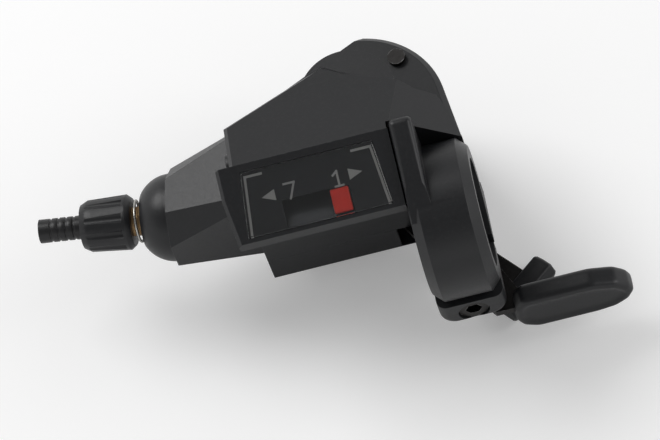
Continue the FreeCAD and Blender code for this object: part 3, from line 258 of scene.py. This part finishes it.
def relief(tree, shader, height, depth, strength=1.0):
    """Bump from a height pattern, a depth in metres."""
    bump = place(tree, "Bump", {"Height": height, "Distance": depth, "Strength": strength})
    tree.links.new(bump.outputs["Normal"], shader.inputs["Normal"])


# %% [markdown]
# ### Moulded plastic
# The casings are a glass-filled nylon: nearly black, satin, with a fine grain that scatters the
# light, paler on rubbed edges and a trace of dust on top. The grips are softer and smoother, the
# inner parts are smooth acetal. One function makes them all from a few numbers.

# %% Plastics
def moulded(name, colour, rubbed, smooth, rough, grain_size, depth, dusty=0.05):
    """A plastic whose roughness runs between two values, with wear, dust and a grain."""
    paint, tree, shader, effect = new_finish(name, Specular_IOR_Level=0.42)
    tone = ramp(tree, effect(grain, Scale=220.0), 0.3, 0.7)
    body_colour = blend_colour(tree, tone, [0.9 * part for part in colour], colour)
    worn = blend_colour(tree, math_node(tree, "MULTIPLY", effect(wear), 0.45), body_colour, rubbed)
    dusted = blend_colour(tree, math_node(tree, "MULTIPLY", effect(dust), dusty), worn,
                          (0.22, 0.21, 0.2))
    tree.links.new(dusted, shader.inputs["Base Color"])
    skin = ramp(tree, effect(grain, Scale=1800.0), 0.3, 0.7, smooth, rough)
    scratched = math_node(tree, "ADD", skin, math_node(tree, "MULTIPLY", effect(hairlines), 0.1))
    tree.links.new(scratched, shader.inputs["Roughness"])
    relief(tree, shader, effect(grain, Scale=grain_size), depth)
    return paint


finishes = {
    "case_plastic": moulded("case_plastic", (0.0105, 0.011, 0.0125), (0.06, 0.061, 0.064), 0.34, 0.42,
                            7000.0, 0.007 * MM),
    "grip_plastic": moulded("grip_plastic", (0.012, 0.0125, 0.014), (0.05, 0.05, 0.053), 0.3, 0.38,
                            9000.0, 0.004 * MM),
    "inner_plastic": moulded("inner_plastic", (0.05, 0.05, 0.052), (0.12, 0.12, 0.12), 0.3, 0.38,
                             5000.0, 0.004 * MM, 0.05),
    "ferrule": moulded("ferrule", (0.012, 0.012, 0.013), (0.07, 0.07, 0.07), 0.3, 0.42,
                       9000.0, 0.006 * MM),
    "scale": moulded("scale", (0.005, 0.005, 0.006), (0.008, 0.008, 0.008), 0.62, 0.7,
                     2500.0, 0.001 * MM, 0.0),
    "pointer_red": moulded("pointer_red", (0.78, 0.025, 0.008), (0.85, 0.1, 0.05), 0.35, 0.45,
                           6000.0, 0.004 * MM, 0.0),
    "ink": moulded("ink", (0.34, 0.325, 0.3), (0.3, 0.29, 0.27), 0.5, 0.65, 9000.0, 0.004 * MM, 0.0)}


# %% [markdown]
# ### Metals
# The pressed plates are bright steel with the streaks of the rolled sheet. The screws are
# blackened, which leaves a dark, slightly brown skin that wears through to steel at the edges.
# The springs are drawn wire and the bush is sintered bronze, which looks porous.

# %% Metals
def metal(name, colour, rubbed, smooth, rough, stretch, depth):
    """A metal with streaks in its roughness, and edges rubbed to another colour."""
    paint, tree, shader, effect = new_finish(name, Metallic=1.0)
    lines = effect(streaks, Scale=1400.0, Stretch=stretch)
    sheen = blend_colour(tree, ramp(tree, lines, 0.3, 0.7), [0.8 * part for part in colour], colour)
    tree.links.new(blend_colour(tree, effect(wear), sheen, rubbed), shader.inputs["Base Color"])
    tree.links.new(ramp(tree, lines, 0.3, 0.7, smooth, rough), shader.inputs["Roughness"])
    relief(tree, shader, lines, depth)
    return paint


finishes |= {
    "steel": metal("steel", (0.56, 0.57, 0.58), (0.72, 0.72, 0.72), 0.25, 0.42, 0.06, 0.003 * MM),
    "black_steel": metal("black_steel", (0.045, 0.043, 0.042), (0.3, 0.3, 0.3), 0.3, 0.46, 1.0,
                         0.004 * MM),
    "spring_wire": metal("spring_wire", (0.5, 0.49, 0.46), (0.7, 0.7, 0.68), 0.22, 0.36, 0.1,
                         0.002 * MM),
    "bronze": metal("bronze", (0.5, 0.33, 0.17), (0.7, 0.5, 0.28), 0.35, 0.6, 1.0, 0.008 * MM)}

# %% [markdown]
# ### The window
# A clear moulded lens is plain glass to the renderer: its metallic and transmission stay numbers.
# Only its roughness varies, where hairlines have dulled it.

# %% Lens
clear, clear_tree, clear_shader, clear_effect = new_finish(
    "lens", Transmission_Weight=1.0, IOR=1.49, Base_Color=(0.93, 0.95, 0.97, 1))
clear_tree.links.new(ramp(clear_tree, clear_effect(hairlines), 0.0, 1.0, 0.015, 0.06),
                     clear_shader.inputs["Roughness"])
finishes["lens"] = clear


# %% [markdown]
# ## The moulded casings
# The housing of the mechanism, its two covers, the indicator's wedge and the cable's outlet are
# injection mouldings. A mould is milled, so their edges have a small even radius.

# %% Casings
EDGE = 0.25 * MM
WIDE_EDGE = 0.5 * MM
for node in ("lower_casing", "bottom_cover", "indicator_housing", "cable_plug"):
    softened(node, EDGE)
for node in ("top_cover", "cable_nose"):
    softened(node, WIDE_EDGE, segments=3)
softened("release_pad", WIDE_EDGE, "release_lever", "grip_plastic", 3)
softened("adjuster_knob", 0.3 * MM, "adjuster", segments=3)
softened("cable_ferrule", 0.1 * MM, "ferrule", "ferrule")
softened("indicator_lens", 0.1 * MM, "housing", "lens")
softened("pointer_flag", 0.35 * MM, "slider", "pointer_red", 3)


# %% [markdown]
# ## The clamp
# The band and its ears have the same small edge as the casings, but the arm that rises from it to
# the cover ends in a thumb-smooth crest. So the edges high up are rounded first and further over,
# and the rest follows.

# %% Clamp
CREST = 1.1 * MM
clamp = copied_solid("clamp_band")
ARM_ROUNDED = 6 * MM
arm_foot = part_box("clamp_band")[1].z - ARM_ROUNDED
round_edges(clamp, CREST, 4, chosen=lambda edge: all(v.co.z > arm_foot for v in edge.verts))
round_edges(clamp, EDGE, 2)
finished_piece("rounded_clamp", clamp, "housing", "case_plastic", ["clamp_band"])

# %% [markdown]
# ## The paddle
# The thumb pushes on a face that is dished inside a low rim, and nothing on this lever is sharp.
# The flat face is inset and the inset pushed in. A voxel remesh then turns the form into an even
# net, which smooths like clay: every round of smoothing rounds the edges a little further.

# %% Paddle
def kneaded(mesh_data, voxel, rounds):
    """A closed form as an even net of small faces, smoothed a number of times."""
    mesh = bpy.data.meshes.new("net")
    mesh_data.to_mesh(mesh)
    mesh_data.free()
    holder = bpy.data.objects.new("net", mesh)
    bpy.context.scene.collection.objects.link(holder)
    net = holder.modifiers.new("net", "REMESH")
    net.mode = "VOXEL"
    net.voxel_size = voxel
    evaluated = holder.evaluated_get(bpy.context.evaluated_depsgraph_get())
    kneaded_data = bmesh.new()
    kneaded_data.from_mesh(bpy.data.meshes.new_from_object(evaluated))
    bpy.data.objects.remove(holder)
    for _ in range(rounds):
        bmesh.ops.smooth_vert(kneaded_data, verts=kneaded_data.verts, factor=0.5, use_axis_x=True,
                              use_axis_y=True, use_axis_z=True)
    return kneaded_data


RIM = 1.1 * MM
DISH = 0.45 * MM
VOXEL = 0.3 * MM
ROUNDS = 12
paddle = copied_solid("lever_paddle")
thumb_face = max((face for face in paddle.faces if face.normal.y < -0.9),
                 key=lambda face: face.calc_area())
bmesh.ops.inset_region(paddle, faces=[thumb_face], thickness=RIM, depth=-DISH)
paddle = kneaded(paddle, VOXEL, ROUNDS)
finished_piece("dished_paddle", paddle, "main_lever", "grip_plastic", ["lever_paddle"])

# %% [markdown]
# ## The indicator's scale
# The rider reads the gear through the window: a red flag runs in a slot below two numbers, and a
# thin frame is printed round them. Ink on a plate is a raised skin a few hundredths of a
# millimetre thick, so the marks are real meshes: bars from a cube, triangles from a cone with three
# corners, and the numbers from a few more bars. All are drawn on the flat and then laid on the
# slope with one matrix.

# %% Scale marks
TILT = math.radians(24)
PLATE_DEPTH = 1.1 * MM
INK = 0.05 * MM
wedge_low, wedge_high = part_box("indicator_housing")
slope_rear = wedge_high.z - (wedge_high.y - wedge_low.y) * math.tan(TILT)
slope = Matrix.Translation((0, wedge_low.y, slope_rear)) @ Matrix.Rotation(TILT, 4, "X")
plate_top = slope @ Matrix.Translation((0, 0, -PLATE_DEPTH))
marks = bmesh.new()


def ink_bar(start, end, width):
    """A printed line between two points of the slope, in millimetres."""
    run = Vector(end) - Vector(start)
    middle = (Vector(start) + Vector(end)) / 2 * MM
    turn = Matrix.Rotation(math.atan2(run.y, run.x), 4, "Z")
    size = Matrix.Diagonal((run.length * MM + width * MM, width * MM, INK, 1))
    lay = plate_top @ Matrix.Translation((*middle, INK / 2)) @ turn @ size
    bmesh.ops.create_cube(marks, size=1.0, matrix=lay)


def ink_triangle(centre, radius, turn):
    """A printed triangle that points along a turn in degrees."""
    spot = Matrix.Translation((centre[0] * MM, centre[1] * MM, INK / 2))
    lay = plate_top @ spot @ Matrix.Diagonal((1.12, 0.8, 1, 1)) @ Matrix.Rotation(math.radians(turn), 4, "Z")
    bmesh.ops.create_cone(marks, cap_ends=True, segments=3, radius1=radius * MM,
                          radius2=radius * MM, depth=INK, matrix=lay)


# The frame is two tall lines with a short return at the top of each. The 7 is a bar and a leaning
# leg; the 1 is a leg with a flag and a foot.
LINE = 0.5
STROKE = 0.42
frame_lines = (((-36.9, 13.1), (-38.1, 1.6)), ((-11.2, 13.1), (-10.0, 1.6)),
               ((-36.9, 13.1), (-33.6, 13.1)), ((-11.2, 13.1), (-15.0, 13.1)))
seven = (((-29.7, 9.9), (-27.6, 9.9)), ((-27.6, 9.9), (-28.9, 6.8)))
one = (((-18.9, 9.9), (-18.9, 6.9)), ((-19.8, 9.2), (-18.9, 9.9)), ((-19.7, 6.9), (-18.1, 6.9)))
for start, end in frame_lines:
    ink_bar(start, end, LINE)
ink_triangle((-32.7, 8.3), 1.65, 90)
ink_triangle((-15.7, 8.7), 1.65, -90)
for start, end in seven + one:
    ink_bar(start, end, STROKE)
finished_piece("scale_marks", marks, "housing", None, finish="ink")

# %% [markdown]
# ## Painting
# Each solid of the frame that still shows gets the finish of its own slot, and each new piece the
# finish of the slot that it was given. The printed marks have a finish of their own.

# %% Paint everything
slot_of = {part["node"]: part["material_slot"] for part in frame["record"]["subparts"]}
for name, node in frame["nodes"].items():
    node.material_slots[0].material = finishes[slot_of[name]]
print(len(slot_of), "solids painted")

# %% [markdown]
# ## The floor
# A wide pale floor lies just under the part. It glows a little for the camera alone, which lifts it
# towards white without adding light to the part, and the soft shadow still falls on it.

# %% Floor
FLOOR_REACH = 4.0
FLOOR_GAP = 0.5 * MM
FLOOR_GLOW = 0.2
floor_data = bmesh.new()
bmesh.ops.create_grid(floor_data, x_segments=1, y_segments=1, size=FLOOR_REACH,
                      matrix=Matrix.Translation((0, 0, cad_low.z - FLOOR_GAP)))
floor_mesh = bpy.data.meshes.new("floor")
floor_data.to_mesh(floor_mesh)
floor_data.free()
floor = bpy.data.objects.new("floor", floor_mesh)
bpy.context.scene.collection.objects.link(floor)
floor_paint = bpy.data.materials.new("floor_paint")
floor_paint.use_nodes = True
floor_shader = floor_paint.node_tree.nodes["Principled BSDF"]
floor_shader.inputs["Base Color"].default_value = (0.86, 0.86, 0.86, 1)
floor_shader.inputs["Roughness"].default_value = 0.8
floor_shader.inputs["Emission Color"].default_value = (1, 1, 1, 1)
floor_seen = place(floor_paint.node_tree, "LightPath").outputs["Is Camera Ray"]
floor_paint.node_tree.links.new(math_node(floor_paint.node_tree, "MULTIPLY", floor_seen, FLOOR_GLOW),
                                floor_shader.inputs["Emission Strength"])
floor.data.materials.append(floor_paint)
print("the floor is at", round((cad_low.z - FLOOR_GAP) / MM, 1), "mm")


# %% [markdown]
# ## Lamps and room
# Black plastic shows its shape by what it mirrors. The room is pale all round and darker above,
# and two wide soft lamps stand beside the part, so faces that look up stay dark and edges light up.
# The world tells its rays apart. A ray from the camera, or one that came straight through the
# window, sees the pale background. A mirrored ray sees the room, also when it was mirrored by the
# plate under the window. All other rays carry the soft light of the room.

# %% Lamps
def soft_lamp(name, place, aim, size, power):
    """A square area lamp that looks at a point."""
    data = bpy.data.lights.new(name, "AREA")
    data.shape = "SQUARE"
    data.size = size
    data.energy = power
    lamp = bpy.data.objects.new(name, data)
    lamp.location = place
    lamp.rotation_euler = (Vector(aim) - Vector(place)).to_track_quat("-Z", "Y").to_euler()
    bpy.context.scene.collection.objects.link(lamp)
    return lamp


soft_lamp("key", (-0.5, 0.5, 0.8), (0, 0, 0), 0.6, 5.5)
soft_lamp("fill", (0.7, -0.1, 0.5), (0, 0, 0), 0.5, 1.8)
print("lamps:", sorted(light.name for light in bpy.data.lights))

# %% Room
BACKGROUND = 0.93
ROOM_LIGHT = 0.42
world = bpy.data.worlds.new("room")
bpy.context.scene.world = world
world.use_nodes = True
air = world.node_tree
height = place(air, "SeparateXYZ", {"Vector": place(air, "TexCoord").outputs["Generated"]})
seen = place(air, "LightPath").outputs
undiffused = math_node(air, "LESS_THAN", seen["Diffuse Depth"], 0.5)
unmirrored = math_node(air, "LESS_THAN", seen["Glossy Depth"], 0.5)
past_lens = math_node(air, "MULTIPLY", seen["Is Transmission Ray"], undiffused)
through = math_node(air, "MULTIPLY", past_lens, unmirrored)
straight = math_node(air, "MAXIMUM", seen["Is Camera Ray"], through)
mirrored_in_plate = math_node(air, "SUBTRACT", past_lens, through)
glossy = math_node(air, "MAXIMUM", seen["Is Glossy Ray"], mirrored_in_plate)
mirrored = ramp(air, height.outputs["Z"], 0.15, 0.75, 0.95, 0.2)
plain = math_node(air, "ADD", math_node(air, "MULTIPLY", glossy, mirrored),
                  math_node(air, "MULTIPLY", straight, BACKGROUND))
seen_at_all = math_node(air, "MAXIMUM", glossy, straight)
rest_of_it = math_node(air, "MULTIPLY", math_node(air, "SUBTRACT", 1.0, seen_at_all), ROOM_LIGHT)
air.links.new(math_node(air, "ADD", plain, rest_of_it), air.nodes["Background"].inputs["Strength"])
air.nodes["Background"].inputs["Color"].default_value = (1, 1, 1, 1)

scene = bpy.context.scene
scene.view_settings.view_transform = "Standard"
print("the room has", len(air.nodes), "nodes")

# %% [markdown]
# ## The camera
# The view is from high up and nearly square to the handlebar, with the picture turned a little.
# A long lens far away keeps the part's parallel edges parallel.

# %% Camera
DISTANCE = 1.2
LENS = 325
LIFT = math.radians(60)
SIDE = math.radians(4.5)
ROLL = math.radians(14)
target = Vector((-24.0, 9.0, -4.0)) * MM
back = Vector((math.sin(SIDE), -math.cos(SIDE) * math.cos(LIFT), math.cos(SIDE) * math.sin(LIFT)))
eye = target + back * DISTANCE
forward = -back
bar = Vector((1, 0, 0))
level = (bar - forward * bar.dot(forward)).normalized()
above = level.cross(forward)
right = level * math.cos(ROLL) - above * math.sin(ROLL)
up = level * math.sin(ROLL) + above * math.cos(ROLL)
camera_data = bpy.data.cameras.new("camera")
camera_data.lens = LENS
camera = bpy.data.objects.new("camera", camera_data)
camera.matrix_world = Matrix((
    (right.x, up.x, -forward.x, eye.x), (right.y, up.y, -forward.y, eye.y),
    (right.z, up.z, -forward.z, eye.z), (0, 0, 0, 1)))
camera_data.clip_start = 0.01
scene.collection.objects.link(camera)
scene.camera = camera
print("the camera is at", [round(side, 3) for side in eye], "m")
